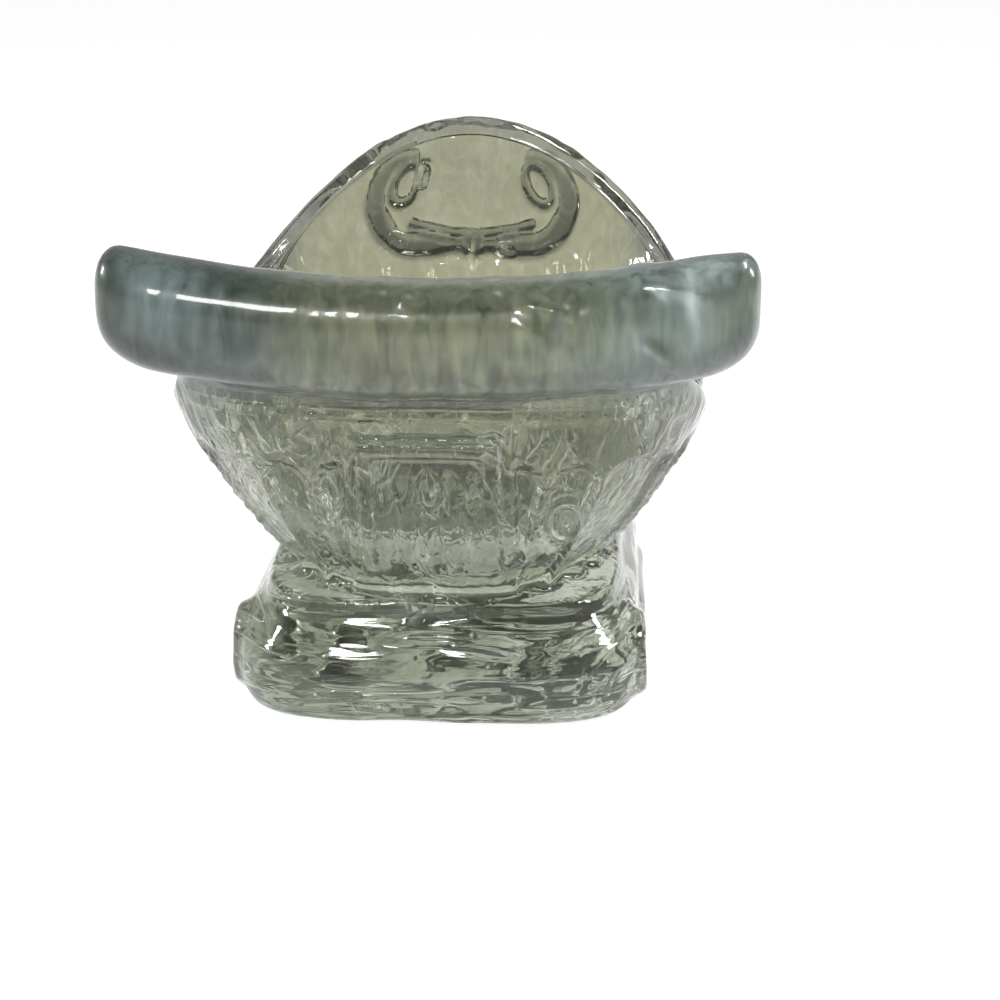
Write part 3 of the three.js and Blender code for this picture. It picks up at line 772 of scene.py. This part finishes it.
def glassMaterial():
    material = bpy.data.materials.new("pressedGlass")
    material.use_nodes = True
    tree = material.node_tree
    tree.nodes.clear()
    wire = Wire(tree)
    place = wire.node("ShaderNodeTexCoord", {}, {}, "Object")
    split = wire.node("ShaderNodeSeparateXYZ", {}, {0: place})
    x = split / mm
    y = split.out("Y") / mm
    z = split.out("Z") / mm
    f = finishSizes
    zones = Zones(wire, x, y, z)

    # Cords, level in the foot and upright in the wall, and chill rings: raised in the bump, and
    # painted near white in the tint as painted highlight streaks
    level = veins(wire, x, y, z, (30, 30, 4.2), 1.0)
    upright = veins(wire, x, y, z, (7, 7, 17), 1.6)
    cordsAndPaintedStreaks = blendOf(level, upright, zones.wall) * zones.corded
    ringsAndPaintedStreaks = 0
    for ringPlace in ringAndStreakPlaces:
        ringsAndPaintedStreaks = ringsAndPaintedStreaks + chillRingsAndStreaks(x, z, ringPlace) * zones.front

    colour = tintRule(wire, place, x, y, z, zones, cordsAndPaintedStreaks, ringsAndPaintedStreaks)
    height = bumpRule(wire, x, y, z, zones, cordsAndPaintedStreaks, ringsAndPaintedStreaks)
    bump = wire.node("ShaderNodeBump", {}, {
        "Strength": f["bumpStrength"], "Distance": f["bumpDistance"], "Height": height})
    haze = wire.node("ShaderNodeTexNoise", {}, {"Vector": place, "Scale": 90.0, "Detail": 3.0})
    rough = f["roughness"] + haze * f["roughnessSpread"]
    rough = rough + zones.roll * (f["rollHaze"] + f["endHaze"] * step(abs(x), 24, 42))
    shader = wire.node("ShaderNodeBsdfPrincipled", {}, {
        "Base Color": colour, "Roughness": rough, "IOR": f["ior"], "Transmission Weight": 1.0,
        "Coat Weight": zones.roll * f["coat"], "Coat Roughness": f["coatRoughness"], "Normal": bump,
    })
    inner = wire.node("ShaderNodeVolumeAbsorption", {}, {
        "Color": f["absorb"], "Density": f["density"]})
    wire.node("ShaderNodeOutputMaterial", {}, {"Surface": shader, "Volume": inner})
    return material


stageSizes = {
    "reach": 6.0, "below": 0.0002, "paper": (0.90, 0.91, 0.90), "ownShare": 0.34, "glow": 1.38,
}


# White to the camera, mirrors and glass, with a share of the paper itself for its shadow, and
# plain paper to all other rays
def paperMaterial():
    material = bpy.data.materials.new("palePaper")
    material.use_nodes = True
    tree = material.node_tree
    tree.nodes.clear()
    wire = Wire(tree)
    place = wire.node("ShaderNodeTexCoord", {}, {}, "Object")
    grain = wire.node("ShaderNodeTexNoise", {}, {"Vector": place, "Scale": 30.0})
    shader = wire.node("ShaderNodeBsdfPrincipled", {}, {
        "Base Color": (*stageSizes["paper"], 1), "Roughness": 0.75 + grain * 0.2})
    white = wire.node("ShaderNodeEmission", {}, {
        "Color": (1, 1, 1, 1), "Strength": stageSizes["glow"]})
    path = wire.node("ShaderNodeLightPath", {}, {}, "Is Camera Ray")
    seen = smaller(path + path.out("Is Glossy Ray") + path.out("Is Transmission Ray"), 1)
    toned = wire.node("ShaderNodeMixShader", {}, {0: stageSizes["ownShare"], 1: white, 2: shader})
    mixed = wire.node("ShaderNodeMixShader", {}, {0: seen, 1: shader, 2: toned})
    wire.node("ShaderNodeOutputMaterial", {}, {"Surface": mixed})
    return material


def makeFloor():
    reach = stageSizes["reach"]
    mesh = bpy.data.meshes.new("floor")
    corners = [(-reach, -reach, 0), (reach, -reach, 0), (reach, reach, 0), (-reach, reach, 0)]
    mesh.from_pydata(corners, [], [(0, 1, 2, 3)])
    floor = bpy.data.objects.new("floor", mesh)
    floor.location.z = -stageSizes["below"]
    mesh.materials.append(paperMaterial())
    bpy.context.scene.collection.objects.link(floor)


worldSizes = {"ceiling": 0.14, "wall": 0.32, "horizon": 1.0}


# A plain room: white where the paper ends at the horizon, dimmer overhead
def makeWorld():
    world = bpy.data.worlds.new("studio")
    bpy.context.scene.world = world
    world.use_nodes = True
    tree = world.node_tree
    tree.nodes.clear()
    wire = Wire(tree)
    towards = wire.node("ShaderNodeTexCoord", {}, {}, "Generated")
    up = wire.node("ShaderNodeSeparateXYZ", {}, {0: towards}).out("Z")
    level = blendOf(worldSizes["wall"], worldSizes["ceiling"], step(up, 0.1, 0.7))
    level = blendOf(worldSizes["horizon"], level, step(up, 0.01, 0.1))
    sky = wire.node("ShaderNodeBackground", {}, {"Color": (1, 1, 1, 1), "Strength": level})
    wire.node("ShaderNodeOutputWorld", {}, {"Surface": sky})


lampAim = (0, 0, 0.05)
lamps = [
    {"name": "frontLamp", "place": (-0.175, -0.80, 0.60), "size": (0.09, 0.18), "power": 1.5},
    {"name": "overheadLamp", "place": (0.28, 0.15, 0.75), "size": (0.32, 0.08), "power": 3.2},
    {"name": "rightLamp", "place": (0.62, 0.05, 0.50), "size": (0.10, 0.28), "power": 2.6},
    {"name": "leftLamp", "place": (-0.72, -0.02, 0.43), "size": (0.10, 0.22), "power": 3.0},
]


def makeLamps():
    for lamp in lamps:
        data = bpy.data.lights.new(lamp["name"], "AREA")
        data.shape = "RECTANGLE"
        data.size, data.size_y = lamp["size"]
        data.energy = lamp["power"]
        made = bpy.data.objects.new(lamp["name"], data)
        made.location = lamp["place"]
        aim = Vector(lampAim) - made.location
        made.rotation_euler = aim.to_track_quat("-Z", "Y").to_euler()
        bpy.context.scene.collection.objects.link(made)


cameraSizes = {
    "turn": 4.3, "height": 15.05, "roll": 0.3, "distance": 0.463, "focalPixels": 2316.0,
    "centre": (452.0, 419.2), "aim": (0.0, 0.0, 0.045), "image": 1000,
}


def makeCamera():
    c = cameraSizes
    turn, height = math.radians(c["turn"]), math.radians(c["height"])
    level = math.cos(height)
    look = Vector((-math.sin(turn) * level, math.cos(turn) * level, -math.sin(height)))
    data = bpy.data.cameras.new("camera")
    data.sensor_width = 36.0
    data.lens = c["focalPixels"] * data.sensor_width / c["image"]
    data.shift_x = (c["image"] / 2 - c["centre"][0]) / c["image"]
    data.shift_y = (c["centre"][1] - c["image"] / 2) / c["image"]
    data.clip_start = 0.01
    camera = bpy.data.objects.new("camera", data)
    camera.rotation_mode = "QUATERNION"
    camera.location = Vector(c["aim"]) - look * c["distance"]
    upright = look.to_track_quat("-Z", "Y")
    camera.rotation_quaternion = Quaternion(look, math.radians(c["roll"])) @ upright
    bpy.context.scene.collection.objects.link(camera)
    bpy.context.scene.camera = camera


print("camera, stage and lamps")
makeCamera()
makeFloor()
makeWorld()
makeLamps()

print("pressed glass")
dish = makeGlass(glassMaterial())
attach(dish, "root")
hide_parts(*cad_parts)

scene = bpy.context.scene
scene.view_settings.view_transform = "Standard"
scene.cycles.max_bounces = 24
scene.cycles.transmission_bounces = 24
scene.cycles.glossy_bounces = 8
